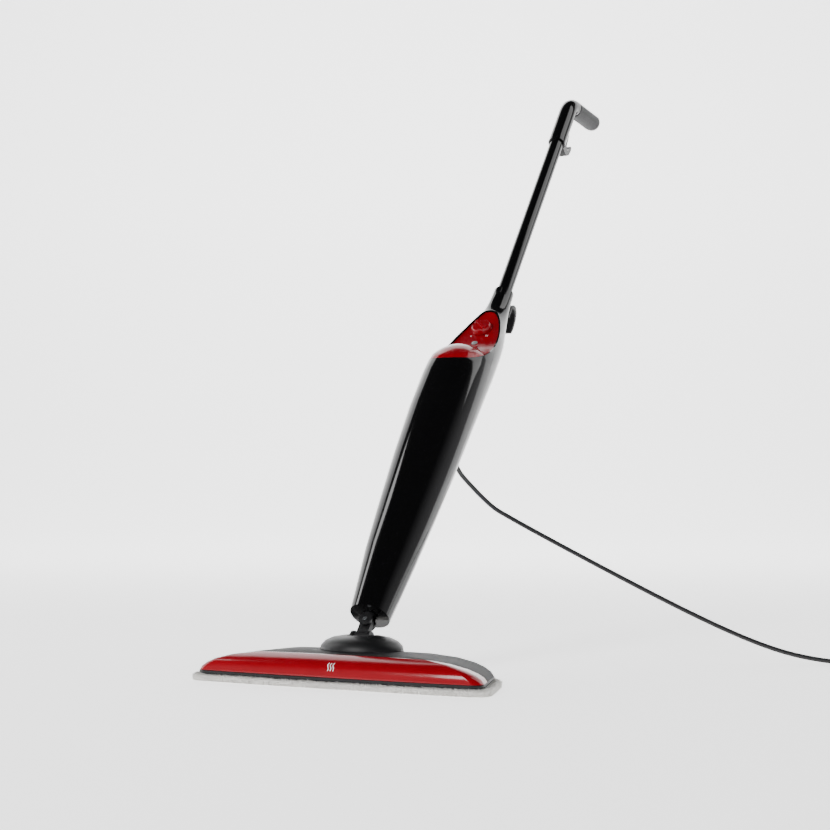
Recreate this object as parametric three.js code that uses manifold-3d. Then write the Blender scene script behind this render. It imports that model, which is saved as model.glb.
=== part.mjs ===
// Upright steam mop: a tall steam generator body on a hinged floor head, with a tube and a cane grip.
// Units are millimetres and +Z is up. The origin is on the floor, under the hinge of the head.
// The upper part is drawn upright in its own frame and then leant back: u is sideways (+X),
// v is rearwards (+Y) and t runs up the pole (+Z), all counted from the lower hinge axis.
import * as THREE from 'three';
import { mergeVertices } from 'three/addons/utils/BufferGeometryUtils.js';
import Module from 'manifold-3d';

const wasm = await Module();
wasm.setup();

// Driving dimensions, in mm and degrees
const LEAN = 40;                 // how far the pole leans back from upright
const GAP = 0.3;                 // clearance between pieces that touch
const HINGE_HEIGHT = 54;         // lower hinge axis above the floor

const HEAD_WIDTH = 400;          // front edge of the hard head
const HEAD_FRONT = 84;           // hinge axis to the front edge
const HEAD_REAR = 40;            // hinge axis to the rear edge
const HEAD_TAPER = 34;           // how much shorter each end is at the rear edge
const PAD_OVERHANG = 5;
const PAD_ENDS = 3;              // further overhang at the ends
const PAD_THICK = 7.5;
const STRIP_THICK = 1.4;
const BASE_THICK = 3.6;
const HEAD_WALL = 2.4;
const HEAD_TOP = 41;             // crown of the hard head above the floor
const HEAD_SCREWS = [[-125, -10], [125, -10], [-100, 34], [100, 34]];
const TRIM_DEPTH = 30;           // width of the red band, seen from above
const DOME_LENGTH = 112;
const DOME_DEPTH = 84;
const DOME_TOP = 58;

const ROLL_HEIGHT = 24;          // roll pin above the lower hinge axis
const PIN_RADIUS = 3;
const NECK_WIDTH = 18;
const TONGUE_THICK = 8;
const NECK_TOP = 66;
const EAR_INSIDE = 9.5;          // half the space between the two ears of the bracket
const EAR_THICK = 4;
const EAR_RADIUS = 9;

const BODY_BOTTOM = 34;          // where the body starts above the lower hinge axis
const COLLAR_TOP = 661;
const BODY_WALL = 2.5;
const COVER_TOP = 532;           // the front cover is open above it
const SEAM = 7;                  // plane where the front cover meets the rear shell
const TUBE_RADIUS = 11;
const TUBE_WALL = 1.2;
const SOCKET_WALL = 2.8;         // wall of the cup that takes the tube's lower end
const TUBE_OFFSET = 46;          // tube axis behind the hinge axis
const TUBE_BOTTOM = 577;
const CAVITY_TOP = 589;          // the collar above it is solid around the tube
const BUTTON_PLACE = 652;
const BUTTON_TRAVEL = 2.2;
const HOOK_PLACE = 639;
const HOOK_AXLE = 2.5;

const PANEL_RECESS = 2.2;
const PANEL_THICK = 2.4;
const PANEL_TOP = 606;
const KNOB_RADIUS = 15;
const KNOB_HEIGHT = 12;
const KNOB_PLACE = 562;          // along the pole
const SHAFT_RADIUS = 3;
const LENS_RADIUS = 4.5;
const LENS_PLACE = 528;
const FILLER_RADIUS = 11;
const FILLER_PLACE = 467;
const LID_HALF = 14;             // half length of the lid's hinge barrel
const LID_AXIS = { v: -1, t: 501.5 };
const LID_CREST = [8, 425];      // centre of the lid's bulge, in (v, t)
const LID_BULGE = [58, 56.5, 77];  // its half sizes

const TANK_INSET = 6;
const TANK_WALL = 1.8;
const TANK_BOTTOM = 366;
const TANK_TOP = 453;
const PUMP_BOTTOM = 238;
const PUMP_TOP = 298;
const BOILER_BOTTOM = 112;
const BOILER_TOP = 205;
const HEATER_HALF = 11;          // half the width of the hairpin
const HEATER_RADIUS = 3;

const SLEEVE_BOTTOM = 1008;
const GRIP_RADIUS = 14;
const GRIP_TOP = 1089;           // where the sleeve ends and the bend starts
const BEND_RADIUS = 30;
const BEND_ANGLE = 54;
const HAND_LENGTH = 93;          // straight part of the hand grip
const INSERT_THICK = 2.4;

const GLAND_PLACE = 350;
const GLAND_RADIUS = 7;          // hole for it in the rear shell
const GLAND_END = 80;            // end of its boot behind the hinge axis
const CORD_DIAMETER = 6.5;
const COIL_RADIUS = 39;          // to the middle of the turns
const COIL_HALF_WIDTH = 13;
const COIL_HEIGHT = 32.5;
const COIL_PLACE = [566, 492];
const TIE_THICK = 1.2;
const TIE_WIDTH = 12;
const PLUG_HEIGHT = 30;
const PLUG_PLACE = [26, -28];     // on the coil, from the coil's centre
const PLUG_PIN = 2.4;

// Half width, front and rear of the body at heights up the pole
const BODY = [
  [34, 26, -25, 26], [64, 28.5, -28, 28.5], [127, 34.5, -34, 32], [200, 39, -39, 37],
  [280, 43, -44, 42], [360, 45, -48, 46.5], [425, 45, -48.5, 52], [470, 44, -44, 57],
  [505, 41, -34, 61], [540, 36, -14, 63.5], [575, 27.5, 8, 64], [606, 20, 25, 63.5],
  [634, 16.3, 30, 62], [661, 15, 31, 61],
];

// Recess of the control panel in side view, from the front of the body up to its top end
const RECESS = [
  [-70, 432], [-47, 439], [-29, 455], [-11, 477], [3, 501], [11.5, 522], [17.5, 545],
  [22, 566], [25, 586], [25, 600], [18, 610], [-70, 614],
];

// The free run of the cord, from its gland down to the floor and along to the coil
const CORD_POINTS = [
  [0, 286.6, 270.4], [0.3, 293.5, 264.6], [1.6, 301, 258], [5, 310, 249.8], [11, 319, 240],
  [21, 329.5, 226], [36, 340, 210], [54, 350, 197.6], [78, 360, 183], [108, 369.5, 166], [142, 378.5, 147.4],
  [180, 387, 127.2], [220, 395, 106.4], [262, 402.5, 85.1], [304, 409.5, 64.7], [346, 416, 45.6],
  [388, 422, 28.6], [428, 427.5, 15.7], [466, 432.5, 8], [502, 437, 4.3], [526, 440, 3.4],
  [543, 441.3, 3.8],
];

const FINISHES = {
  gloss_black: [0x08080a, 0.12, 0], satin_black: [0x17171a, 0.45, 0], gloss_red: [0xb90b12, 0.12, 0],
  dark_grey: [0x2a2a2d, 0.4, 0], soft_black: [0x141416, 0.8, 0], steel: [0xb8bcc0, 0.3, 1],
  aluminium: [0xa8acb0, 0.45, 1], brass: [0xb89a55, 0.35, 1], copper: [0xb06a3a, 0.4, 1],
  clear: [0xcfd8de, 0.1, 0], silicone: [0xe6e2da, 0.6, 0], fibre: [0xece9e4, 0.95, 0],
  board: [0x1f5a35, 0.6, 0], lens: [0x8b8f92, 0.1, 0], white: [0xdedede, 0.5, 0], cord: [0x101012, 0.55, 0],
};

const mop = new THREE.Group();
const pole = new THREE.Group();
pole.position.set(0, 0, HINGE_HEIGHT);
pole.rotation.x = -THREE.MathUtils.degToRad(LEAN);
mop.add(pole);

// ---- helpers -------------------------------------------------------------------------------

// Signed volume of an indexed geometry
function volumeOf(position, index) {
  const [a, b, c] = [new THREE.Vector3(), new THREE.Vector3(), new THREE.Vector3()];
  let sum = 0;
  for (let i = 0; i < index.length; i += 3) {
    a.fromBufferAttribute(position, index[i]);
    b.fromBufferAttribute(position, index[i + 1]);
    c.fromBufferAttribute(position, index[i + 2]);
    sum += a.dot(b.cross(c));
  }
  return sum / 6;
}

// A solid for cutting and joining, with its faces turned to point out
function solid(geometry) {
  const bare = geometry.clone();
  bare.deleteAttribute('normal');
  bare.deleteAttribute('uv');
  const merged = mergeVertices(bare);
  const triangles = Uint32Array.from(merged.index.array);
  if (volumeOf(merged.attributes.position, triangles) < 0) {
    for (let i = 0; i < triangles.length; i += 3) {
      [triangles[i], triangles[i + 1]] = [triangles[i + 1], triangles[i]];
    }
  }
  const vertices = Float32Array.from(merged.attributes.position.array);
  return new wasm.Manifold(new wasm.Mesh({ numProp: 3, vertProperties: vertices, triVerts: triangles }));
}

function geometryOf(shape) {
  const mesh = shape.getMesh();
  const geometry = new THREE.BufferGeometry();
  geometry.setAttribute('position', new THREE.Float32BufferAttribute(mesh.vertProperties, 3));
  geometry.setIndex(Array.from(mesh.triVerts));
  geometry.computeVertexNormals();
  return geometry;
}

function add(name, shape, finish, parent = pole) {
  const [color, roughness, metalness] = FINISHES[finish];
  const material = new THREE.MeshStandardMaterial({ color, roughness, metalness });
  const mesh = new THREE.Mesh(geometryOf(shape), material);
  mesh.name = name;
  parent.add(mesh);
  return mesh;
}

const joined = (...shapes) => shapes.reduce((whole, shape) => whole.add(shape));
const cut = (shape, ...cutters) => cutters.reduce((rest, cutter) => rest.subtract(cutter), shape);

function box(x0, x1, y0, y1, z0, z1) {
  const geometry = new THREE.BoxGeometry(x1 - x0, y1 - y0, z1 - z0);
  return solid(geometry.translate((x0 + x1) / 2, (y0 + y1) / 2, (z0 + z1) / 2));
}

// A rod along x, y or z through the point given by the other two coordinates
function rod(axis, radius, from, to, p = 0, q = 0, sides = 20) {
  const geometry = new THREE.CylinderGeometry(radius, radius, to - from, sides);
  const middle = (from + to) / 2;
  if (axis === 'x') geometry.rotateZ(-Math.PI / 2).translate(middle, p, q);
  if (axis === 'y') geometry.translate(p, middle, q);
  if (axis === 'z') geometry.rotateX(Math.PI / 2).translate(p, q, middle);
  return solid(geometry);
}

// A turned piece about +Z from [radius, height] points
function turned(points, sides = 32) {
  const profile = points.map(([r, h]) => new THREE.Vector2(r, h));
  return solid(new THREE.LatheGeometry(profile, sides).rotateX(Math.PI / 2));
}

function outline(points) {
  return new THREE.Shape(points.map(([x, y]) => new THREE.Vector2(x, y)));
}

// A flat outline in (x, y) pulled up from z0 to z1
function plate(shape, z0, z1, curveSegments = 12) {
  const geometry = new THREE.ExtrudeGeometry(shape, { depth: z1 - z0, bevelEnabled: false, curveSegments });
  return solid(geometry.translate(0, 0, z0));
}

// An outline in (v, t) pulled sideways from u0 to u1
function sidePlate(points, u0, u1) {
  const geometry = new THREE.ExtrudeGeometry(outline(points), { depth: u1 - u0, bevelEnabled: false });
  geometry.rotateX(Math.PI / 2).rotateZ(Math.PI / 2);
  return solid(geometry.translate(u0, 0, 0));
}

function circle(radius, sides) {
  const turn = (k) => (2 * Math.PI * k) / sides;
  return Array.from({ length: sides }, (_, k) => [radius * Math.cos(turn(k)), radius * Math.sin(turn(k))]);
}

function sweep(section, curve, steps) {
  const options = { steps, extrudePath: curve, bevelEnabled: false };
  return solid(new THREE.ExtrudeGeometry(outline(section), options));
}

function smooth(points) {
  return new THREE.CatmullRomCurve3(points.map((p) => new THREE.Vector3(...p)), false, 'centripetal');
}

const hose = (radius, points, steps, sides = 10) => sweep(circle(radius, sides), smooth(points), steps);

// A closed skin through rings of equal point counts
function loft(rings) {
  const count = rings[0].length;
  const vertices = rings.flat();
  const index = [];
  for (let r = 0; r + 1 < rings.length; r += 1) {
    for (let k = 0; k < count; k += 1) {
      const [a, b] = [r * count + k, r * count + (k + 1) % count];
      index.push(a, b, b + count, a, b + count, a + count);
    }
  }
  for (const [ring, start] of [[rings[0], 0], [rings.at(-1), (rings.length - 1) * count]]) {
    const middle = [0, 1, 2].map((axis) => ring.reduce((sum, p) => sum + p[axis], 0) / count);
    const hub = vertices.push(middle) - 1;
    for (let k = 0; k < count; k += 1) {
      const [a, b] = [start + k, start + (k + 1) % count];
      index.push(...(start === 0 ? [b, a, hub] : [a, b, hub]));
    }
  }
  const geometry = new THREE.BufferGeometry();
  geometry.setAttribute('position', new THREE.Float32BufferAttribute(vertices.flat(), 3));
  geometry.setIndex(index);
  return solid(geometry);
}

// ---- body envelope -------------------------------------------------------------------------

// A smooth value between the rows of a table whose first column is the place
function blend(rows, place, column) {
  const last = rows.length - 1;
  let k = rows.findIndex((row) => row[0] > place) - 1;
  if (k < 0) k = place <= rows[0][0] ? 0 : last - 1;
  const slope = (i) => {
    const [a, b] = [rows[Math.max(i - 1, 0)], rows[Math.min(i + 1, last)]];
    return (b[column] - a[column]) / (b[0] - a[0]);
  };
  const span = rows[k + 1][0] - rows[k][0];
  const s = THREE.MathUtils.clamp((place - rows[k][0]) / span, 0, 1);
  const [p, q] = [rows[k][column], rows[k + 1][column]];
  const [m, n] = [slope(k) * span, slope(k + 1) * span];
  return p + s * (m + s * (3 * (q - p) - 2 * m - n + s * (2 * (p - q) + m + n)));
}

// The ring of the body at a height, inset by a wall; fuller than an ellipse low down
function bodyRing(t, inset, sides) {
  const half = blend(BODY, t, 1) - inset;
  const front = blend(BODY, t, 2) + inset;
  const rear = blend(BODY, t, 3) - inset;
  const fullness = THREE.MathUtils.mapLinear(THREE.MathUtils.clamp(t, 560, 650), 560, 650, 0.93, 1);
  const round = (value) => Math.sign(value) * Math.abs(value) ** fullness;
  const [middle, reach] = [(front + rear) / 2, (rear - front) / 2];
  return Array.from({ length: sides }, (_, k) => {
    const turn = (2 * Math.PI * k) / sides;
    return [half * round(Math.cos(turn)), middle + reach * round(Math.sin(turn)), t];
  });
}

function bodySolid(inset, from, to, sides = 28) {
  const places = [from, to, ...BODY.map((row) => row[0])];
  BODY.slice(7).forEach((row, k) => places.push((row[0] + BODY[k + 6][0]) / 2));
  const inside = [...new Set(places)].filter((t) => t >= from && t <= to).sort((a, b) => a - b);
  return loft(inside.map((t) => bodyRing(t, inset, sides)));
}

// Everything in front of the panel recess, moved deeper into the body by a depth
function recess(depth) {
  const curve = new THREE.SplineCurve(RECESS.slice(1, -1).map(([v, t]) => new THREE.Vector2(v, t)));
  const points = curve.getPoints(24).map((p, k, all) => {
    const [a, b] = [all[Math.max(k - 1, 0)], all[Math.min(k + 1, all.length - 1)]];
    const along = new THREE.Vector2().subVectors(b, a).normalize();
    return [p.x + along.y * depth, p.y - along.x * depth];
  });
  const closing = [[-90, points.at(-1)[1]], [-90, points[0][1]]];
  return sidePlate([...points, ...closing], -80, 80);
}

// Where the recess lies at a height: its v and the lean of its face
function recessAt(t) {
  const k = RECESS.findIndex((point) => point[1] > t);
  const [a, b] = [RECESS[k - 1], RECESS[k]];
  const share = (t - a[1]) / (b[1] - a[1]);
  return { v: a[0] + share * (b[0] - a[0]), lean: Math.atan2(b[0] - a[0], b[1] - a[1]) };
}

// Moves a shape drawn about +Z so that it stands out of the panel at a height
function onPanel(geometry, t, depth) {
  const { v, lean } = recessAt(t);
  geometry.rotateX(Math.PI / 2 - lean);
  return geometry.translate(0, v + depth * Math.cos(lean), t - depth * Math.sin(lean));
}

const cylinderOnPanel = (radius, from, to, t, sides = 32) => {
  const geometry = new THREE.CylinderGeometry(radius, radius, to - from, sides);
  geometry.rotateX(Math.PI / 2).translate(0, 0, (from + to) / 2);
  return solid(onPanel(geometry, t, PANEL_RECESS));
};

// ---- body ----------------------------------------------------------------------------------

const SCREWS = [[-1, 92], [1, 92], [-1, 332], [1, 332]];
const screwSide = (t) => blend(BODY, t, 1) * 0.55;
const rearAt = (t, u) => {
  const half = blend(BODY, t, 1);
  const [front, rear] = [blend(BODY, t, 2), blend(BODY, t, 3)];
  return (front + rear) / 2 + ((rear - front) / 2) * Math.sqrt(Math.max(0, 1 - (u / half) ** 2));
};

function addBody() {
  const skin = cut(
    bodySolid(0, BODY_BOTTOM, COLLAR_TOP),
    bodySolid(BODY_WALL, BODY_BOTTOM + BODY_WALL, CAVITY_TOP, 20),
  );
  const bore = rod('z', TUBE_RADIUS + GAP, CAVITY_TOP - 20, COLLAR_TOP + 5, 0, TUBE_OFFSET, 28);
  const hookHole = rod('y', HOOK_AXLE + GAP, TUBE_OFFSET, 80, 0, HOOK_PLACE, 16);
  const neckHole = rod('z', NECK_WIDTH / 2 + 0.4, BODY_BOTTOM - 1, BODY_BOTTOM + BODY_WALL + 1);
  const panelSeat = bodySolid(BODY_WALL, BODY_BOTTOM + BODY_WALL, PANEL_TOP + GAP)
    .intersect(recess(PANEL_RECESS + PANEL_THICK + GAP));
  const socketRadius = TUBE_RADIUS + SOCKET_WALL + GAP;
  const socketRoom = rod('z', socketRadius, TUBE_BOTTOM - 5 - GAP, CAVITY_TOP, 0, TUBE_OFFSET, 28);
  const open = cut(skin, bore, socketRoom, neckHole, recess(0), panelSeat);
  const bosses = SCREWS.map(([side, t]) => {
    const u = side * screwSide(t);
    const post = rod('y', 4.4, -80, rearAt(t, u) - BODY_WALL - 5, u, t, 14);
    return cut(post.intersect(bodySolid(BODY_WALL / 2, BODY_BOTTOM, 400)), rod('y', 2, 0, 80, u, t, 12));
  });
  const forward = box(-80, 80, -90, SEAM - GAP / 2, 0, COVER_TOP);
  const behind = joined(
    box(-80, 80, SEAM + GAP / 2, 90, 0, COLLAR_TOP + 9),
    box(-80, 80, -90, 90, COVER_TOP + GAP, COLLAR_TOP + 9),
  );
  add('front_cover', joined(open.intersect(forward), ...bosses), 'gloss_black');
  const gland = rod('y', GLAND_RADIUS, 20, 80, 0, GLAND_PLACE);
  const buttonSlot = box(-4.3, 4.3, 10, TUBE_OFFSET - 5, BUTTON_PLACE - 5.3, BUTTON_PLACE + 5.3);
  const holes = SCREWS.map(([side, t]) => rod('y', 2.1, 10, 80, side * screwSide(t), t, 12));
  add('rear_shell', cut(open.intersect(behind), gland, buttonSlot, hookHole, ...holes), 'gloss_black');
}

function addScrews() {
  SCREWS.forEach(([side, t], k) => {
    const u = side * screwSide(t);
    const face = rearAt(t, u) - 3;
    const shank = rod('y', 1.75, face - 22, face, u, t, 12);
    add(`body_screw_${k + 1}`, shank, 'steel');
  });
}

function addPanel() {
  const inside = bodySolid(BODY_WALL + GAP, BODY_BOTTOM + 9, PANEL_TOP);
  const tray = cut(inside.intersect(recess(PANEL_RECESS + PANEL_THICK)), recess(PANEL_RECESS));
  const shaftHole = cylinderOnPanel(SHAFT_RADIUS + GAP, -8, 8, KNOB_PLACE);
  const lensHole = cylinderOnPanel(LENS_RADIUS + GAP, -8, 8, LENS_PLACE);
  const fillerHole = cylinderOnPanel(FILLER_RADIUS + GAP, -9, 9, FILLER_PLACE);
  const lugs = [-1, 1].map((side) => {
    const [a, b] = [side * (LID_HALF + 0.5), side * (LID_HALF + 3.5)].sort((p, q) => p - q);
    const arm = sidePlate([[LID_AXIS.v - 2.6, LID_AXIS.t], [LID_AXIS.v + 2.6, LID_AXIS.t],
      [LID_AXIS.v + 8, LID_AXIS.t - 3], [LID_AXIS.v + 3.5, LID_AXIS.t - 8]], a, b);
    return joined(arm, rod('x', 2.6, a, b, LID_AXIS.v, LID_AXIS.t, 20));
  });
  const body = joined(cut(tray, shaftHole, lensHole, fillerHole), ...lugs);
  add('control_panel', cut(body, rod('x', 1.5, -30, 30, LID_AXIS.v, LID_AXIS.t, 16)), 'gloss_red');
}

function addKnob() {
  const profile = [[0, 0.6], [KNOB_RADIUS, 0.6], [KNOB_RADIUS, 3], [KNOB_RADIUS - 0.8, KNOB_HEIGHT - 4.5],
    [KNOB_RADIUS - 2.2, KNOB_HEIGHT - 3], [0, KNOB_HEIGHT - 3]];
  const lathe = new THREE.LatheGeometry(profile.map(([r, h]) => new THREE.Vector2(r, h)), 32);
  const disc = solid(onPanel(lathe.rotateX(Math.PI / 2), KNOB_PLACE, PANEL_RECESS));
  const ridge = new THREE.BoxGeometry(5, 2 * KNOB_RADIUS - 4, 6).translate(0, 0, KNOB_HEIGHT - 3);
  ridge.rotateZ(THREE.MathUtils.degToRad(45));
  const finger = solid(onPanel(ridge, KNOB_PLACE, PANEL_RECESS));
  const socket = cylinderOnPanel(SHAFT_RADIUS + GAP, -1, 5, KNOB_PLACE);
  add('steam_knob', cut(joined(disc, finger), socket), 'gloss_red');
  add('knob_shaft', cylinderOnPanel(SHAFT_RADIUS, -9, 4.7, KNOB_PLACE, 20), 'white');
  const valve = new THREE.BoxGeometry(22, 16, 9).translate(0, 0, -PANEL_THICK - 4.5 - 1);
  const socketHole = cylinderOnPanel(SHAFT_RADIUS + GAP, -9.4, 0, KNOB_PLACE);
  add('steam_selector', cut(solid(onPanel(valve, KNOB_PLACE, PANEL_RECESS)), socketHole), 'satin_black');
}

function addLens() {
  const dome = new THREE.SphereGeometry(LENS_RADIUS, 14, 8).scale(1, 1, 0.45);
  const stem = cylinderOnPanel(LENS_RADIUS - 0.2, -PANEL_THICK, 0.3, LENS_PLACE, 20);
  add('indicator_lens', joined(solid(onPanel(dome, LENS_PLACE, PANEL_RECESS)), stem), 'lens');
}

function addLid() {
  const bulge = new THREE.SphereGeometry(1, 36, 18).scale(...LID_BULGE).translate(0, ...LID_CREST);
  const block = bodySolid(0.7, 424, 540).intersect(solid(bulge)).intersect(recess(-GAP));
  const behind = box(-60, 60, LID_AXIS.v, 60, 420, 560);
  const barrel = rod('x', 2.4, -LID_HALF, LID_HALF, LID_AXIS.v, LID_AXIS.t, 20);
  const lugRoom = [-1, 1].map((side) => {
    const [a, b] = [side * (LID_HALF + 0.2), side * (LID_HALF + 4.2)].sort((p, q) => p - q);
    return box(a, b, LID_AXIS.v - 3.2, 20, LID_AXIS.t - 12, LID_AXIS.t + 9);
  });
  const stopper = cylinderOnPanel(FILLER_RADIUS - 1.6, -5, 4.2, FILLER_PLACE);
  const solidLid = joined(cut(block, behind, ...lugRoom), barrel, stopper);
  add('filler_lid', cut(solidLid, rod('x', 1.5, -30, 30, LID_AXIS.v, LID_AXIS.t, 16)), 'gloss_red');
  add('lid_pin', rod('x', 1.2, -LID_HALF - 3.3, LID_HALF + 3.3, LID_AXIS.v, LID_AXIS.t, 16), 'steel');
  const ring = (r, from, to) => cylinderOnPanel(r, from, to, FILLER_PLACE, 24);
  add('lid_seal', cut(ring(FILLER_RADIUS - 0.8, -4, -1.5), ring(FILLER_RADIUS - 1.3, -5, 0)), 'silicone');
}

// ---- inside the body -----------------------------------------------------------------------

function addTank() {
  const under = PANEL_RECESS + PANEL_THICK + GAP;
  const neck = cylinderOnPanel(FILLER_RADIUS + 2.4, -38, 0, FILLER_PLACE);
  const outer = cut(joined(bodySolid(TANK_INSET, TANK_BOTTOM, TANK_TOP, 20), neck), recess(under));
  const room = bodySolid(TANK_INSET + TANK_WALL, TANK_BOTTOM + TANK_WALL, TANK_TOP - TANK_WALL, 20);
  const inner = cut(room, recess(under + TANK_WALL));
  const mouth = cylinderOnPanel(FILLER_RADIUS + GAP, -45, 9, FILLER_PLACE);
  const outlet = rod('z', 2.2, TANK_BOTTOM - 1, TANK_BOTTOM + TANK_WALL + 1, 0, 0, 16);
  add('water_tank', cut(outer, inner, mouth, outlet), 'clear');
  const sieve = [[0, 0.3], [4.5, 0.3], [4.5, 9], [3.6, 10], [0, 10]];
  const floor = TANK_BOTTOM + TANK_WALL;
  add('water_filter', turned(sieve.map(([r, h]) => [r, h + floor]), 16), 'white');
}

function addPump() {
  const middle = (PUMP_BOTTOM + PUMP_TOP) / 2;
  const barrel = rod('z', 8, PUMP_BOTTOM + 6, PUMP_TOP - 6);
  const body = joined(barrel, rod('z', 3.5, PUMP_BOTTOM, PUMP_TOP, 0, 0, 16));
  add('pump_body', body, 'white');
  const coil = cut(box(-16, 16, -13, 13, middle - 15, middle + 15), rod('z', 8.3, middle - 20, middle + 20));
  add('pump_coil', coil, 'copper');
  const board = box(-17, 17, 31, 32.6, PUMP_BOTTOM - 4, PUMP_TOP + 4);
  add('circuit_board', board, 'board');
  add('terminal_block', box(-10, 10, 31, 39, GLAND_PLACE - 8, GLAND_PLACE + 8), 'white');
}

function addBoiler() {
  const top = BOILER_TOP;
  const block = joined(rod('z', 20, BOILER_BOTTOM, top, 0, 0, 32), rod('z', 24, top - 12, top - 8, 0, 0, 32));
  const sides = [-HEATER_HALF, HEATER_HALF];
  const bores = sides.map((u) => rod('z', HEATER_RADIUS + GAP, BOILER_BOTTOM + 12, top + 5, u, 0, 16));
  add('boiler', cut(block, ...bores), 'aluminium');
  const [low, high] = [BOILER_BOTTOM + 12.5, top + 6];
  const loop = [[-1, low], [-1, top], [-1, high], [-0.7, high + 6], [0, high + 9], [0.7, high + 6],
    [1, high], [1, top], [1, low]];
  const hairpin = loop.map(([side, t]) => [side * HEATER_HALF, 0, t]);
  add('heating_element', hose(HEATER_RADIUS, hairpin, 24, 8), 'steel');
  add('thermostat', joined(rod('x', 8, 20.4, 24, 0, 145), rod('x', 5, 23, 28, 0, 145)), 'satin_black');
  add('thermal_fuse', rod('z', 2.5, 138, 152, -23, 0, 12), 'steel');
  add('boiler_bracket', box(-14, 14, 20.4, 22.4, BOILER_BOTTOM + 8, top - 14), 'steel');
}

function addHoses() {
  const toPump = [[0, 0, TANK_BOTTOM - GAP], [0, 0, TANK_BOTTOM - 6], [5, -3, (TANK_BOTTOM + PUMP_TOP) / 2],
    [0, 0, PUMP_TOP + 6], [0, 0, PUMP_TOP + GAP]];
  add('water_hose', hose(3, toPump, 10, 8), 'silicone');
  const toBoiler = [[0, 0, PUMP_BOTTOM - GAP], [0, 0, PUMP_BOTTOM - 4], [0, 12, BOILER_TOP + 6],
    [0, 12, BOILER_TOP + GAP]];
  add('feed_hose', hose(2.5, toBoiler, 10, 8), 'silicone');
  const halfway = (BOILER_BOTTOM + NECK_TOP) / 2;
  const toNeck = [[0, 0, BOILER_BOTTOM - GAP], [0, 0, BOILER_BOTTOM - 6], [5, 0, halfway],
    [0, 0, NECK_TOP + 6], [0, 0, NECK_TOP + GAP]];
  add('steam_hose', hose(3.2, toNeck, 10, 8), 'silicone');
}

// ---- tube, grip, hooks and cord gland --------------------------------------------------------

function addTube() {
  const tube = rod('z', TUBE_RADIUS, TUBE_BOTTOM, GRIP_TOP - 4, 0, TUBE_OFFSET, 28);
  const bore = rod('z', TUBE_RADIUS - TUBE_WALL, TUBE_BOTTOM - 1, GRIP_TOP, 0, TUBE_OFFSET, 28);
  const catchHole = rod('y', 3, TUBE_OFFSET - 20, TUBE_OFFSET - 5, 0, BUTTON_PLACE, 16);
  add('pole_tube', cut(tube, bore, catchHole), 'gloss_black');
  const cup = rod('z', TUBE_RADIUS + SOCKET_WALL, TUBE_BOTTOM - 5, CAVITY_TOP - 0.4, 0, TUBE_OFFSET, 28);
  const seat = rod('z', TUBE_RADIUS + GAP, TUBE_BOTTOM - GAP, CAVITY_TOP + 9, 0, TUBE_OFFSET, 28);
  const drain = rod('z', 6, TUBE_BOTTOM - 9, TUBE_BOTTOM, 0, TUBE_OFFSET, 16);
  add('tube_socket', cut(cup, seat, drain), 'satin_black');
}

function addButton() {
  const seat = TUBE_OFFSET - TUBE_RADIUS - BUTTON_TRAVEL - GAP;
  const cap = box(-4, 4, seat - 3.8, seat, BUTTON_PLACE - 5, BUTTON_PLACE + 5);
  const stem = rod('y', 2.6, seat - 1, TUBE_OFFSET - 4, 0, BUTTON_PLACE, 16);
  add('release_button', joined(cap, stem), 'gloss_black');
  const inside = TUBE_OFFSET + TUBE_RADIUS - TUBE_WALL - 1;
  const leaf = [[inside, -20], [inside, -18.6], [TUBE_OFFSET, -1], [TUBE_OFFSET, 1], [inside, 18.6],
    [inside, 20], [TUBE_OFFSET - 1.2, 1.6], [TUBE_OFFSET - 1.2, -1.6]];
  add('button_spring', sidePlate(leaf.map(([v, t]) => [v, t + BUTTON_PLACE]), -3, 3), 'steel');
}

function addCordHook() {
  const face = TUBE_OFFSET + 20;
  const profile = [[0, -8], [0, 12], [6, 22], [13, 24.5], [21, 19], [25.5, 7], [26.8, -9], [25.3, -19],
    [22.3, -20], [21.6, -8], [20, 4], [16.5, 12], [11, 15.5], [4, 13], [4, -8]];
  const boss = rod('y', 6, face - 3.4, face + 4, 0, HOOK_PLACE, 20);
  const hole = rod('y', HOOK_AXLE + GAP, face - 9, face + 9, 0, HOOK_PLACE, 16);
  const loop = sidePlate(profile.map(([v, t]) => [v + face, t + HOOK_PLACE]), -9, 9);
  add('cord_hook', cut(joined(loop, boss), hole), 'satin_black');
  const axle = joined(
    rod('y', HOOK_AXLE, TUBE_OFFSET + TUBE_RADIUS + 1.4, face + 5, 0, HOOK_PLACE, 16),
    rod('y', 4.4, face + 4.3, face + 6, 0, HOOK_PLACE, 20),
  );
  add('hook_axle', axle, 'steel');
}

// The centre of the bent part of the grip, in (v, t)
const bendEnd = () => {
  const turn = THREE.MathUtils.degToRad(BEND_ANGLE);
  return [TUBE_OFFSET + BEND_RADIUS * (1 - Math.cos(turn)), GRIP_TOP + BEND_RADIUS * Math.sin(turn)];
};

function handPoint(distance) {
  const turn = THREE.MathUtils.degToRad(BEND_ANGLE);
  const [v, t] = bendEnd();
  return [0, v + distance * Math.sin(turn), t + distance * Math.cos(turn)];
}

// Moves a shape drawn along +Z so that it lies along the hand part of the grip
function onHand(geometry) {
  geometry.rotateX(-THREE.MathUtils.degToRad(BEND_ANGLE));
  return geometry.translate(...handPoint(0));
}

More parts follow.
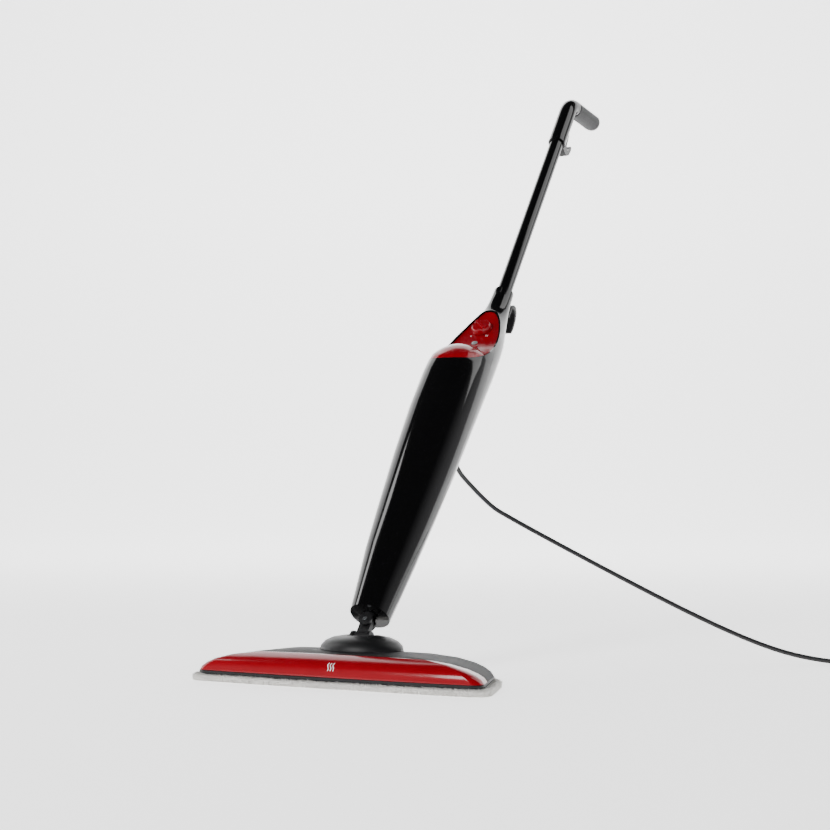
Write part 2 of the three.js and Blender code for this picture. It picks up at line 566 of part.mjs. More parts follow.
function addGrip() {
  const turns = [0.25, 0.5, 0.75].map((share) => THREE.MathUtils.degToRad(BEND_ANGLE * share));
  const bend = turns.map((turn) => [
    0, TUBE_OFFSET + BEND_RADIUS * (1 - Math.cos(turn)), GRIP_TOP + BEND_RADIUS * Math.sin(turn),
  ]);
  const route = [[0, TUBE_OFFSET, SLEEVE_BOTTOM], [0, TUBE_OFFSET, (SLEEVE_BOTTOM + GRIP_TOP) / 2],
    [0, TUBE_OFFSET, GRIP_TOP], ...bend, handPoint(0), handPoint(HAND_LENGTH / 2), handPoint(HAND_LENGTH)];
  const cane = sweep(circle(GRIP_RADIUS, 18), smooth(route), 22);
  const end = new THREE.SphereGeometry(GRIP_RADIUS, 18, 10).scale(1, 1, 0.7).translate(0, 0, HAND_LENGTH);
  const hook = [[-4, 42], [2, 38], [4, 28], [5.5, 18], [7.5, 12.5], [11, 12], [14.5, 15], [17, 25], [19, 31],
    [22, 31], [23.3, 25], [21.3, 12], [16, 4], [7, 1], [-4, 1]];
  const hookOutline = hook.map(([v, t]) => [v + TUBE_OFFSET + GRIP_RADIUS, t + SLEEVE_BOTTOM]);
  const whole = joined(cane, solid(onHand(end)), sidePlate(hookOutline, -8, 8));
  const bore = rod('z', TUBE_RADIUS + GAP, SLEEVE_BOTTOM - 20, GRIP_TOP - 3.5, 0, TUBE_OFFSET, 28);
  const screwHole = rod('y', 2.2, TUBE_OFFSET, TUBE_OFFSET + 30, 0, GRIP_TOP - 16, 12);
  const pocket = handInsert(GRIP_RADIUS + 3, GRIP_RADIUS - INSERT_THICK - GAP, GAP);
  add('grip_body', cut(whole, bore, screwHole, pocket), 'gloss_black');
  add('grip_insert', handInsert(GRIP_RADIUS + 0.5, GRIP_RADIUS - INSERT_THICK, 0), 'soft_black');
  const wall = TUBE_OFFSET + TUBE_RADIUS + 0.6;
  add('grip_screw', rod('y', 1.9, wall, wall + 2, 0, GRIP_TOP - 16, 12), 'steel');
}

// The soft wrap under the hand part, between two radii and open along the top
function handInsert(outside, inside, spare) {
  const [from, to] = [2 - spare, HAND_LENGTH - 4 + spare];
  const tube = (radius, low, high) => {
    const geometry = new THREE.CylinderGeometry(radius, radius, high - low, 26);
    return solid(onHand(geometry.rotateX(Math.PI / 2).translate(0, 0, (low + high) / 2)));
  };
  const open = new THREE.BoxGeometry(60, 40, 300).translate(0, -20 - 5.5 - spare, 0);
  return cut(tube(outside, from, to), tube(inside, from - 5, to + 5), solid(onHand(open)));
}

function addGland() {
  const start = rearAt(GLAND_PLACE, 0) - 5;
  const flange = rearAt(GLAND_PLACE, 0) + 0.8;
  const profile = [[0, start], [GLAND_RADIUS - GAP, start], [GLAND_RADIUS - GAP, flange], [9, flange],
    [9, flange + 2], [6.2, flange + 3], [4.3, GLAND_END], [0, GLAND_END]];
  const points = profile.map(([r, h]) => new THREE.Vector2(r, h));
  const geometry = new THREE.LatheGeometry(points, 20);
  add('cord_gland', solid(geometry.translate(0, 0, GLAND_PLACE)), 'soft_black');
}

// ---- neck and knuckle ------------------------------------------------------------------------

function addNeck() {
  const half = NECK_WIDTH / 2;
  const tongueRoom = TONGUE_THICK / 2 + 0.4;
  const column = joined(
    rod('z', half, ROLL_HEIGHT, NECK_TOP, 0, 0, 24),
    rod('y', half, -half + 0.6, half - 0.6, 0, ROLL_HEIGHT, 24),
    rod('z', 14, BODY_BOTTOM + BODY_WALL + 1, BODY_BOTTOM + BODY_WALL + 5),
  );
  const slot = box(-20, 20, -tongueRoom, tongueRoom, 0, ROLL_HEIGHT + half + 0.8);
  const bore = rod('z', 3.6, ROLL_HEIGHT, NECK_TOP + 5, 0, 0, 16);
  const pinHole = rod('y', PIN_RADIUS + GAP, -20, 20, 0, ROLL_HEIGHT);
  add('neck_fork', cut(column, slot, bore, pinHole), 'satin_black');
  add('roll_pin', rod('y', PIN_RADIUS, -half + 0.2, half - 0.2, 0, ROLL_HEIGHT), 'steel');
}

function addKnuckle() {
  const half = TONGUE_THICK / 2;
  const barrel = rod('x', 7.5, -EAR_INSIDE + GAP, EAR_INSIDE - GAP, 0, 0, 24);
  const top = rod('y', 8, -half, half, 0, ROLL_HEIGHT, 24);
  const tongue = joined(box(-8, 8, -half, half, 0, ROLL_HEIGHT), top);
  const holes = [
    rod('x', PIN_RADIUS + GAP, -20, 20),
    rod('y', PIN_RADIUS + GAP, -20, 20, 0, ROLL_HEIGHT),
  ];
  add('knuckle', cut(joined(barrel, tongue), ...holes), 'satin_black');
}

// ---- head --------------------------------------------------------------------------------------

// The head's outline at a height, inset all round and once more at its ends; the corners are
// arcs and the front is bowed
function headRing(inset, z, ends = 0) {
  const depth = HEAD_FRONT + HEAD_REAR;
  const slant = Math.atan2(HEAD_TAPER, depth);
  const frontRadius = Math.max(14 - inset, 5);
  const rearRadius = Math.max(34 - inset * 0.6, 8);
  const halfFront = HEAD_WIDTH / 2 - inset - ends;
  const side = (y) => halfFront - (y + HEAD_FRONT) * Math.tan(slant);
  const arc = (radius, y, from, to, steps) => Array.from({ length: steps + 1 }, (_, k) => {
    const turn = from + ((to - from) * k) / steps;
    const x = side(y) - radius / Math.cos(slant);
    return [x + radius * Math.cos(turn), y + radius * Math.sin(turn), z];
  });
  const front = -HEAD_FRONT + 5 + inset;
  const right = [
    ...arc(frontRadius, front + frontRadius, -Math.PI / 2 + 0.06, slant, 5),
    ...arc(rearRadius, HEAD_REAR - inset - rearRadius, slant, Math.PI / 2, 7),
  ];
  const left = right.map(([x, y]) => [-x, y, z]).reverse();
  const bow = [-0.7, -0.35, 0, 0.35, 0.7].map((share) => [
    share * halfFront, -HEAD_FRONT + inset + 5 * share ** 2, z,
  ]);
  return [...bow, ...right, ...left];
}

// Rows of the head's pillow shape: height above the base, inset, and how much more at the ends
const COVER = [
  [0, 0, 0], [5, 0.4, 3], [10, 1.8, 9], [15, 4.5, 18], [20.5, 12, 32], [24.5, 25, 50],
  [26.6, 40, 70], [27, 50, 82],
];

// The pillow shape of the hard head, a wall thinner and lower inside
function coverSolid(inset, drop) {
  const foot = PAD_THICK + STRIP_THICK + BASE_THICK + 3 * GAP;
  return loft(COVER.map(([rise, side, ends]) => headRing(side + inset, foot + rise - drop, ends)));
}

function darkArea(spare) {
  const edge = -HEAD_FRONT + TRIM_DEPTH + spare;
  const half = HEAD_WIDTH / 2 + spare * 0.5;
  const shape = new THREE.Shape();
  shape.moveTo(-half, 120);
  shape.lineTo(-half, edge + 44);
  shape.quadraticCurveTo(-half + 2, edge + 4, -half + 62, edge);
  shape.lineTo(half - 62, edge);
  shape.quadraticCurveTo(half - 2, edge + 4, half, edge + 44);
  shape.lineTo(half, 120);
  return plate(shape, 0, 90, 10);
}

function addHead() {
  const foot = PAD_THICK + STRIP_THICK + BASE_THICK + 2 * GAP;
  const flat = (inset, ends) => outline(headRing(inset, 0, ends).map(([x, y]) => [x, y]));
  add('microfibre_pad', plate(flat(-PAD_OVERHANG, -PAD_ENDS), 0, PAD_THICK), 'fibre', mop);
  const stripBase = PAD_THICK + GAP;
  [['front', -HEAD_FRONT + 14], ['rear', HEAD_REAR - 34]].forEach(([place, y]) => {
    const strip = box(-140, 140, y, y + 20, stripBase, stripBase + STRIP_THICK - GAP);
    add(`hook_strip_${place}`, strip, 'soft_black', mop);
  });
  const jets = [-150, -90, -30, 30, 90, 150].map((x) => rod('z', 2, 0, 30, x, -12, 10));
  const screwSinks = HEAD_SCREWS.map(([x, y]) => joined(
    rod('z', 2.4, 0, 30, x, y, 10),
    rod('z', 3.9, 0, foot - 1.6, x, y, 12),
  ));
  const base = plate(flat(-0.6, 0), foot - BASE_THICK, foot);
  add('base_plate', cut(base, ...jets, ...screwSinks), 'satin_black', mop);
  HEAD_SCREWS.forEach(([x, y], k) => {
    const low = foot - BASE_THICK + 0.3;
    const shank = rod('z', 2, low + 0.1, foot + 12, x, y, 10);
    const screw = joined(shank, rod('z', 3.5, low, foot - 1.9, x, y, 12));
    add(`base_screw_${k + 1}`, screw, 'steel', mop);
  });
  const wall = HEAD_WALL;
  const cover = cut(coverSolid(0, 0), coverSolid(wall, wall));
  add('front_trim', cut(cover, darkArea(-GAP / 2)), 'gloss_red', mop);
  const bosses = HEAD_SCREWS.map(([x, y]) => rod('z', 5, foot + GAP, 60, x, y, 14));
  const pilots = HEAD_SCREWS.map(([x, y]) => rod('z', 2.3, 0, foot + 13, x, y, 10));
  const throat = box(-16, 16, -14, 22, 0, 90);
  const underside = coverSolid(wall / 2, wall / 2);
  const top = joined(cover.intersect(darkArea(GAP / 2)), ...bosses.map((boss) => boss.intersect(underside)));
  add('top_shell', cut(top, throat, ...pilots), 'dark_grey', mop);
  addBracket(foot);
}

function addBracket(foot) {
  const outer = EAR_INSIDE + EAR_THICK;
  const ears = [-1, 1].map((side) => {
    const [a, b] = [side * EAR_INSIDE, side * outer].sort((p, q) => p - q);
    const post = box(a, b, -EAR_RADIUS, EAR_RADIUS, foot + 1, HINGE_HEIGHT);
    return joined(post, rod('x', EAR_RADIUS, a, b, 0, HINGE_HEIGHT, 24));
  });
  const floor = box(-outer, outer, -12, 12, foot + GAP, foot + 5);
  const nozzle = rod('z', 4, foot + 2, HINGE_HEIGHT - 12, 0, 0, 16);
  const hole = rod('x', PIN_RADIUS + GAP, -30, 30, 0, HINGE_HEIGHT);
  const jet = rod('z', 2, foot - 9, 90, 0, 0, 12);
  add('pivot_bracket', cut(joined(floor, nozzle, ...ears), hole, jet), 'satin_black', mop);
  add('pitch_pin', rod('x', PIN_RADIUS, -outer + 0.2, outer - 0.2, 0, HINGE_HEIGHT), 'steel', mop);
  const oval = (half, deep, z) => circle(1, 28).map(([x, y]) => [x * half, y * deep, z]);
  const steps = [[36, 1], [45, 0.965], [51, 0.86], [55, 0.69], [57.3, 0.46], [58, 0.28]];
  const domeRings = (inset) => steps.map(([z, share]) => oval(
    (DOME_LENGTH / 2) * share - inset, (DOME_DEPTH / 2) * share - inset, z + DOME_TOP - 58 - inset * 1.1,
  ));
  const lip = coverSolid(-GAP, -GAP);
  const slot = box(-15.4, 15.4, -12.5, 80, HEAD_TOP - 6, 90);
  add('swivel_cover', cut(loft(domeRings(0)), loft(domeRings(2.2)), lip, slot), 'satin_black', mop);
}

// ---- cord, coil and plug -----------------------------------------------------------------------

function addCord() {
  add('cord_run', sweep(circle(CORD_DIAMETER / 2, 8), smooth(CORD_POINTS), 36), 'cord', mop);
  const inner = COIL_RADIUS - COIL_HALF_WIDTH;
  const outer = COIL_RADIUS + COIL_HALF_WIDTH;
  const [low, high] = [TIE_THICK + GAP, TIE_THICK + GAP + COIL_HEIGHT];
  const ring = turned([[inner, low + 3], [inner + 3, low], [outer - 3, low], [outer, low + 3],
    [outer, high - 3], [outer - 3, high], [inner + 3, high], [inner, high - 3], [inner, low + 3]], 32);
  const place = (shape) => shape.translate([...COIL_PLACE, 0]);
  add('cord_coil', place(ring), 'cord', mop);
  const half = TIE_WIDTH / 2;
  const [near, far] = [inner - 1.2, outer + GAP];
  const band = cut(
    box(-half, half, near - TIE_THICK, far + TIE_THICK, 0, high + GAP + TIE_THICK),
    box(-TIE_WIDTH, TIE_WIDTH, near, far, TIE_THICK, high + GAP),
  );
  add('coil_tie', place(band), 'soft_black', mop);
  addPlug(place, high + GAP);
}

function addPlug(place, floor) {
  const lay = (shape) => place(shape.translate([...PLUG_PLACE, floor + PLUG_HEIGHT / 2]));
  const profile = [[0, -40], [4.6, -40], [6, -22], [11, -16], [15, -8], [17.5, 0], [17.5, 18], [0, 18]];
  const points = profile.map(([r, h]) => new THREE.Vector2(r, h));
  const geometry = new THREE.LatheGeometry(points, 28).rotateZ(-Math.PI / 2).scale(1, 1, PLUG_HEIGHT / 35);
  const sockets = [-1, 1].map((side) => rod('x', PLUG_PIN + GAP, 8, 30, 9.5 * side, 0, 14));
  add('mains_plug', lay(cut(solid(geometry), ...sockets)), 'satin_black', mop);
  [-1, 1].forEach((side, k) => {
    const pin = rod('x', PLUG_PIN, 8.4, 37, 9.5 * side, 0, 14);
    add(`plug_pin_${k + 1}`, lay(pin), 'brass', mop);
  });
}

addBody();
addScrews();
addPanel();
addKnob();
addLens();
addLid();
addTank();
addPump();
addBoiler();
addHoses();
addTube();
addButton();
addCordHook();
addGrip();
addGland();
addNeck();
addKnuckle();
addHead();
addCord();

export default mop;
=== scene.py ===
"""Looks of an upright steam mop: finishes, microfibre pad, mains cord, printed marks and a studio stage."""

import math
import random

import bmesh
import bpy
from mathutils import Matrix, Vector
from mathutils.bvhtree import BVHTree


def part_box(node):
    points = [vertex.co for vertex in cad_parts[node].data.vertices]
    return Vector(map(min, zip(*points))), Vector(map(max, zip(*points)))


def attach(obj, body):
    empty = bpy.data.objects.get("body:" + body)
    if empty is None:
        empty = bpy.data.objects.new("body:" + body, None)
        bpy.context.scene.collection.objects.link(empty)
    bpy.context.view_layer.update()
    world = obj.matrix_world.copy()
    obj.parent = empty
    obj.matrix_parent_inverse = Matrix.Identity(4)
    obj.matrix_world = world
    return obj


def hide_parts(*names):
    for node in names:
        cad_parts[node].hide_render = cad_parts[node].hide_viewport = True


bl_info = {
    "name": "Steam Mop",
    "version": (1, 0, 0),
    "blender": (4, 5, 0),
    "location": "View3D > Sidebar > Steam Mop",
    "description": "Finishes and soft pieces of an upright steam mop",
    "category": "Object",
}

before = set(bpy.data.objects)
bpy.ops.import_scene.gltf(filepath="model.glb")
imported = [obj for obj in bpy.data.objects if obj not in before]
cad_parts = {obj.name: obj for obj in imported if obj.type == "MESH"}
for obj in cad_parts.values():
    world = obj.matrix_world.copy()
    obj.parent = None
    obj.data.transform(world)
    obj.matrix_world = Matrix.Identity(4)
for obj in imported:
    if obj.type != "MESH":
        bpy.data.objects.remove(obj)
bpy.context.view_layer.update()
MM = 0.001
LEAN = math.radians(40)
HINGE_HEIGHT = 0.054

# Free run of the cord from its gland to the coil, in metres
CORD_ROUTE = [
    (0, 0.2866, 0.2704), (0.0003, 0.2935, 0.2646), (0.0016, 0.301, 0.258), (0.005, 0.31, 0.2498),
    (0.011, 0.319, 0.24), (0.021, 0.3295, 0.226), (0.036, 0.34, 0.21), (0.054, 0.35, 0.1976),
    (0.078, 0.36, 0.183), (0.108, 0.3695, 0.166), (0.142, 0.3785, 0.1474), (0.18, 0.387, 0.1272),
    (0.22, 0.395, 0.1064), (0.262, 0.4025, 0.0851), (0.304, 0.4095, 0.0647), (0.346, 0.416, 0.0456),
    (0.388, 0.422, 0.0286), (0.428, 0.4275, 0.0157), (0.466, 0.4325, 0.008), (0.502, 0.437, 0.0043),
    (0.526, 0.44, 0.0034), (0.543, 0.4413, 0.0038),
]
COIL_CENTRE = Vector((0.566, 0.492, 0))
COIL_MIDDLE = 0.039
COIL_ENTRY = Vector((0.5525, 0.4427, 0.0043))
TIE_THICK = 0.0012
SLACK = 0.0001
TURN_STEPS = 24
PLUG_LIFT = 0.0115
INK_THICK = 0.00012
RIM_STEP = 0.003
# Cosine and sine of the studio's turn, which follows the camera's
ALONG, ASIDE = 0.9, 0.435


def linear(colour):
    """An sRGB hex colour as linear RGBA."""
    parts = [int(colour[i:i + 2], 16) / 255 for i in (1, 3, 5)]
    return tuple(p / 12.92 if p <= 0.04045 else ((p + 0.055) / 1.055) ** 2.4 for p in parts) + (1.0,)


def from_pole(side, rear, up):
    """A point of the leaning pole, given beside, behind and above its lower hinge, in the frame's axes."""
    y = rear * math.cos(LEAN) + up * math.sin(LEAN)
    return Vector((side, y, HINGE_HEIGHT - rear * math.sin(LEAN) + up * math.cos(LEAN)))


# ---- settings ------------------------------------------------------------------------------


class MopSizes(bpy.types.PropertyGroup):
    cord_diameter: bpy.props.FloatProperty(
        name="Cord diameter", description="Outside of the mains cord's sheath", default=0.0065,
        min=0.004, max=0.01, precision=4, unit="LENGTH")
    cord_turns: bpy.props.IntProperty(
        name="Cord turns", description="Whole turns in the stored coil", default=17, min=4, max=19)
    pad_thickness: bpy.props.FloatProperty(
        name="Pad thickness", description="Height of the microfibre pad at its rim", default=0.0075,
        min=0.004, max=0.02, precision=4, unit="LENGTH")
    tuft_length: bpy.props.FloatProperty(
        name="Tuft length", description="Length of the pad's terry loops", default=0.0034,
        min=0.001, max=0.008, precision=4, unit="LENGTH")
    tuft_spacing: bpy.props.FloatProperty(
        name="Tuft spacing", description="Distance between the loops along the rim", default=0.0017,
        min=0.001, max=0.005, precision=4, unit="LENGTH")
    edge_round: bpy.props.FloatProperty(
        name="Edge rounding", description="Radius of the moulded edges", default=0.0006,
        min=0.0, max=0.002, precision=4, unit="LENGTH")


class MopColours(bpy.types.PropertyGroup):
    body: bpy.props.FloatVectorProperty(
        name="Body", description="Polished ABS of the body, tube and grip", subtype="COLOR", size=4,
        default=linear("#060607"), min=0, max=1)
    accent: bpy.props.FloatVectorProperty(
        name="Accent", description="Polished ABS of the panel, dial, lid and head front", subtype="COLOR",
        size=4,
        default=linear("#8E0214"), min=0, max=1)
    head: bpy.props.FloatVectorProperty(
        name="Head", description="Satin ABS of the head's top", subtype="COLOR", size=4,
        default=linear("#121214"), min=0, max=1)
    pad: bpy.props.FloatVectorProperty(
        name="Pad", description="Microfibre yarn", subtype="COLOR", size=4,
        default=linear("#EFEDE8"), min=0, max=1)


# ---- materials -----------------------------------------------------------------------------


def add_node(tree, kind, settings=None, links=None):
    """Adds a node with its settings and its incoming links, given as input name to (node, output name)."""
    node = tree.nodes.new(kind)
    for key, value in (settings or {}).items():
        if hasattr(node, key):
            setattr(node, key, value)
        else:
            node.inputs[key].default_value = value
    for key, (source, output) in (links or {}).items():
        tree.links.new(source.outputs[output], node.inputs[key])
    return node


# Each finish: colour, spread of the colour, metal, roughness and its spread, IOR, coat, and a
# relief as (kind, size of the pattern in mm, height in mm)
FINISHES = {
    # High-gloss injection-moulded ABS: mirror-like, with a very slight orange peel
    "polished_abs_black": ("#060607", 0.1, 0, 0.09, 0.03, 1.4, 0.0, ("peel", 9, 0.004)),
    # The same resin in red, over which the lacquer-like gloss gives deep highlights
    "polished_abs_red": ("#8E0214", 0.12, 0, 0.16, 0.04, 1.4, 0.0, ("peel", 8, 0.005)),
    # ABS from a spark-eroded tool: a fine grain that spreads the highlight; drawn 0.9 mm coarse to show
    "satin_abs_grey": ("#121214", 0.12, 0, 0.6, 0.08, 1.25, 0.0, ("grain", 0.9, 0.02)),
    "satin_abs_black": ("#0E0E10", 0.15, 0, 0.45, 0.08, 1.4, 0.0, ("grain", 0.9, 0.02)),
    # Soft TPE over the grip, moulded with a field of small domes 2.4 mm apart
    "moulded_tpe_grip": ("#121214", 0.15, 0, 0.6, 0.08, 1.5, 0.0, ("domes", 2.4, 0.35)),
    # Zinc-plated steel: bright, faintly streaked by its rolling
    "zinc_plated_steel": ("#B9BDC0", 0.08, 1, 0.28, 0.1, 1.5, 0.0, ("streaks", 0.8, 0.006)),
    # Sand-cast aluminium of the boiler block: dull and pitted
    "cast_aluminium": ("#A9ACAE", 0.12, 1, 0.5, 0.12, 1.5, 0.0, ("grain", 1.6, 0.08)),
    # Turned brass of the plug's pins
    "turned_brass": ("#C7A35A", 0.06, 1, 0.24, 0.06, 1.5, 0.0, ("streaks", 0.5, 0.004)),
    # Enamelled copper wire wound on the pump: rows of wire 0.8 mm apart
    "enamelled_copper": ("#A9602F", 0.15, 1, 0.3, 0.08, 1.5, 0.2, ("ribs", 0.8, 0.3)),
    # FR4 board with a solder mask
    "fr4_board": ("#1D5B36", 0.2, 0, 0.35, 0.1, 1.55, 0.1, ("grain", 1.5, 0.05)),
    # Natural nylon of the valve and pump parts
    "natural_nylon": ("#DCDAD2", 0.05, 0, 0.42, 0.06, 1.53, 0.0, ("grain", 0.9, 0.01)),
    # Extruded silicone hose: milky and slightly sticky-looking
    "extruded_silicone": ("#DEDAD0", 0.05, 0, 0.45, 0.05, 1.41, 0.0, ("peel", 6, 0.02)),
    # Moulded EPDM rubber of the strain relief
    "moulded_rubber": ("#121213", 0.15, 0, 0.6, 0.08, 1.52, 0.0, ("grain", 0.9, 0.03)),
    # PVC sheath of the cord, extruded: satin with faint flow lines
    "extruded_pvc": ("#0C0C0E", 0.1, 0, 0.45, 0.06, 1.45, 0.0, ("peel", 5, 0.02)),
    # Hook tape: rows of stiff nylon hooks 1.4 mm apart
    "woven_hook_tape": ("#151515", 0.3, 0, 0.7, 0.08, 1.53, 0.0, ("domes", 1.4, 0.4)),
    # Brushed velour band of the cord tie
    "velour_band": ("#18181A", 0.3, 0, 0.9, 0.05, 1.5, 0.0, ("grain", 1.0, 0.2)),
    # Screen-printed white ink
    "printed_white_ink": ("#F2F2F2", 0.03, 0, 0.4, 0.05, 1.5, 0.0, ("grain", 0.9, 0.005)),
    # Clear SAN of the tank and the smoked lens over the lamp
    "clear_san": ("#DCE4E8", 0.03, 0, 0.06, 0.02, 1.57, 0.0, ("peel", 10, 0.01)),
    "smoked_lens": ("#8E9192", 0.05, 0, 0.12, 0.03, 1.58, 0.4, ("peel", 4, 0.01)),
    # Microfibre terry: split polyester loops that scatter the light, 1.6 mm between the loops
    "microfibre_terry": ("#EFEDE8", 0.1, 0, 0.95, 0.03, 1.5, 0.0, ("domes", 1.6, 0.5)),
}

SLOTS = {
    "cover_gloss": "polished_abs_black", "grip_gloss": "polished_abs_black", "grip_soft": "moulded_tpe_grip",
    "red_gloss": "polished_abs_red", "head_grey": "satin_abs_grey", "black_satin": "satin_abs_black",
    "zinc_steel": "zinc_plated_steel", "boiler_alloy": "cast_aluminium", "pin_brass": "turned_brass",
    "lens_clear": "smoked_lens", "tank_clear": "clear_san", "white_nylon": "natural_nylon",
    "coil_copper": "enamelled_copper", "board_green": "fr4_board", "hose_silicone": "extruded_silicone",
    "gland_rubber": "moulded_rubber", "cord_pvc": "extruded_pvc", "tie_velvet": "velour_band",
    "strip_hooks": "woven_hook_tape", "pad_cloth": "microfibre_terry",
}


def add_relief(tree, place, kind, size):
    """The height pattern of a finish; size is the distance between its features in millimetres."""
    if kind == "domes":
        settings = {"Scale": 1000 / size, "Randomness": 0.35, "feature": "F1"}
        cells = add_node(tree, "ShaderNodeTexVoronoi", settings, {"Vector": (place, "Object")})
        fall = {"From Min": 0.0, "From Max": 0.6, "To Min": 1.0, "To Max": 0.0}
        ramp = add_node(tree, "ShaderNodeMapRange", fall, {"Value": (cells, "Distance")})
        return ramp, "Result"
    if kind == "ribs":
        settings = {"Scale": 1000 / size / 6.2832, "Distortion": 0.4, "bands_direction": "Z"}
        return add_node(tree, "ShaderNodeTexWave", settings, {"Vector": (place, "Object")}), "Fac"
    if kind == "streaks":
        stretch = add_node(tree, "ShaderNodeMapping", {"Scale": (1, 1, 0.04)}, {"Vector": (place, "Object")})
        settings = {"Scale": 1000 / size, "Detail": 2}
        return add_node(tree, "ShaderNodeTexNoise", settings, {"Vector": (stretch, "Vector")}), "Fac"
    settings = {"Scale": 1000 / size, "Detail": 2 if kind == "peel" else 5}
    return add_node(tree, "ShaderNodeTexNoise", settings, {"Vector": (place, "Object")}), "Fac"


def make_finish(name, colour=None):
    """Builds a material of FINISHES, in its own colour or in one that is given."""
    shade, spread, metal, rough, rough_spread, ior, coat, (kind, size, height) = FINISHES[name]
    base = tuple(colour) if colour else linear(shade)
    material = bpy.data.materials.new(name)
    material.use_nodes = True
    tree = material.node_tree
    tree.nodes.clear()
    place = add_node(tree, "ShaderNodeTexCoord")
    cloud = add_node(tree, "ShaderNodeTexNoise", {"Scale": 28.0, "Detail": 3}, {"Vector": (place, "Object")})
    darker = tuple(c * (1 - spread) for c in base[:3]) + (1.0,)
    lighter = tuple(min(1.0, c * (1 + spread)) for c in base[:3]) + (1.0,)
    tint = add_node(tree, "ShaderNodeMix", {"data_type": "RGBA"})
    tree.links.new(cloud.outputs["Fac"], tint.inputs[0])
    tint.inputs[6].default_value = darker
    tint.inputs[7].default_value = lighter
    span = {"To Min": max(0.02, rough - rough_spread), "To Max": rough + rough_spread}
    rub = add_node(tree, "ShaderNodeMapRange", span, {"Value": (cloud, "Fac")})
    relief, output = add_relief(tree, place, kind, size)
    bump = add_node(tree, "ShaderNodeBump", {"Strength": 1.0, "Distance": height * MM},
                    {"Height": (relief, output)})
    gloss = {"Metallic": metal, "Coat Weight": coat, "Coat Roughness": 0.04}
    shader = add_node(tree, "ShaderNodeBsdfPrincipled", gloss,
                      {"Roughness": (rub, "Result"), "Normal": (bump, "Normal")})
    tree.links.new(tint.outputs[2], shader.inputs["Base Color"])
    if not metal:
        shader.inputs["IOR"].default_value = ior
    if name == "clear_san":
        shader.inputs["Transmission Weight"].default_value = 0.85
    if name in ("microfibre_terry", "velour_band"):
        shader.inputs["Sheen Weight"].default_value = 0.6
        shader.inputs["Sheen Roughness"].default_value = 0.5
    add_node(tree, "ShaderNodeOutputMaterial", links={"Surface": (shader, "BSDF")})
    return material


def finish(name):
    """The material of that name, made once, in the colour that the settings give."""
    chosen = {"polished_abs_black": "body", "polished_abs_red": "accent", "satin_abs_grey": "head",
              "microfibre_terry": "pad"}.get(name)
    if name in bpy.data.materials:
        return bpy.data.materials[name]
    return make_finish(name, getattr(bpy.context.scene.mop_colours, chosen) if chosen else None)


# ---- pieces --------------------------------------------------------------------------------


def smooth_group():
    """Geometry nodes that shade a moulded piece smooth and keep the edges over 34 degrees crisp."""
    if "moulded_shading" in bpy.data.node_groups:
        return bpy.data.node_groups["moulded_shading"]
    tree = bpy.data.node_groups.new("moulded_shading", "GeometryNodeTree")
    tree.interface.new_socket("Geometry", in_out="INPUT", socket_type="NodeSocketGeometry")
    tree.interface.new_socket("Geometry", in_out="OUTPUT", socket_type="NodeSocketGeometry")
    entry = add_node(tree, "NodeGroupInput")
    plain = add_node(tree, "GeometryNodeRemoveAttribute", {"Name": "custom_normal"},
                     {"Geometry": (entry, "Geometry")})
    angle = add_node(tree, "GeometryNodeInputMeshEdgeAngle")
    crisp = add_node(tree, "FunctionNodeCompare", {"operation": "LESS_THAN", "B": math.radians(34)},
                     {"A": (angle, "Unsigned Angle")})
    faces = add_node(tree, "GeometryNodeSetShadeSmooth", {"domain": "FACE"},
                     {"Geometry": (plain, "Geometry")})
    edges = add_node(tree, "GeometryNodeSetShadeSmooth", {"domain": "EDGE"},
                     {"Geometry": (faces, "Geometry"), "Shade Smooth": (crisp, "Result")})
    add_node(tree, "NodeGroupOutput", links={"Geometry": (edges, "Geometry")})
    return tree


def new_piece(name, mesh, body, material):
    """Links a mesh as a piece that rides on a body and takes its finish from a slot."""
    piece = bpy.data.objects.new(name, mesh)
    bpy.context.scene.collection.objects.link(piece)
    piece.data.materials.append(material)
    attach(piece, body)
    return piece


def surface_of(node):
    """A search tree of a CAD node's surface."""
    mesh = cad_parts[node].data
    return BVHTree.FromPolygons([v.co for v in mesh.vertices], [tuple(p.vertices) for p in mesh.polygons])


def print_strokes(name, node, body, origin, across, up, strokes, width):
    """Prints strokes, given in millimetres on a plane, as thin ink that follows a node's surface."""
    surface = surface_of(node)
    away = across.cross(up).normalized()
    mesh = bpy.data.meshes.new(name)
    build = bmesh.new()
    for stroke in strokes:
        rows = []
        for k, point in enumerate(stroke):
            before, after = stroke[max(k - 1, 0)], stroke[min(k + 1, len(stroke) - 1)]
            along = Vector((after[0] - before[0], after[1] - before[1])).normalized()
            row = []
            for side in (-1, 1):
                x = (point[0] - side * along.y * width / 2) * MM
                y = (point[1] + side * along.x * width / 2) * MM
                start = origin + across * x + up * y + away * 0.05
                hit, normal, _, _ = surface.ray_cast(start, -away)
                if hit is None:
                    raise RuntimeError(f"{name}: a stroke misses {node}")
                if normal.dot(away) < 0:
                    normal = -normal
                row.append(build.verts.new(hit + normal * INK_THICK))
            rows.append(row)
        for a, b in zip(rows, rows[1:]):
            build.faces.new((a[0], b[0], b[1], a[1]))
    build.to_mesh(mesh)
    build.free()
    return new_piece(name, mesh, body, finish("printed_white_ink"))


def wave_stroke(x, low, high, swing, steps=14):
    """One upright wavy line, as steam is drawn on household symbols."""
    return [(x + swing * math.sin(2 * math.pi * k / steps), low + (high - low) * k / steps)
            for k in range(steps + 1)]


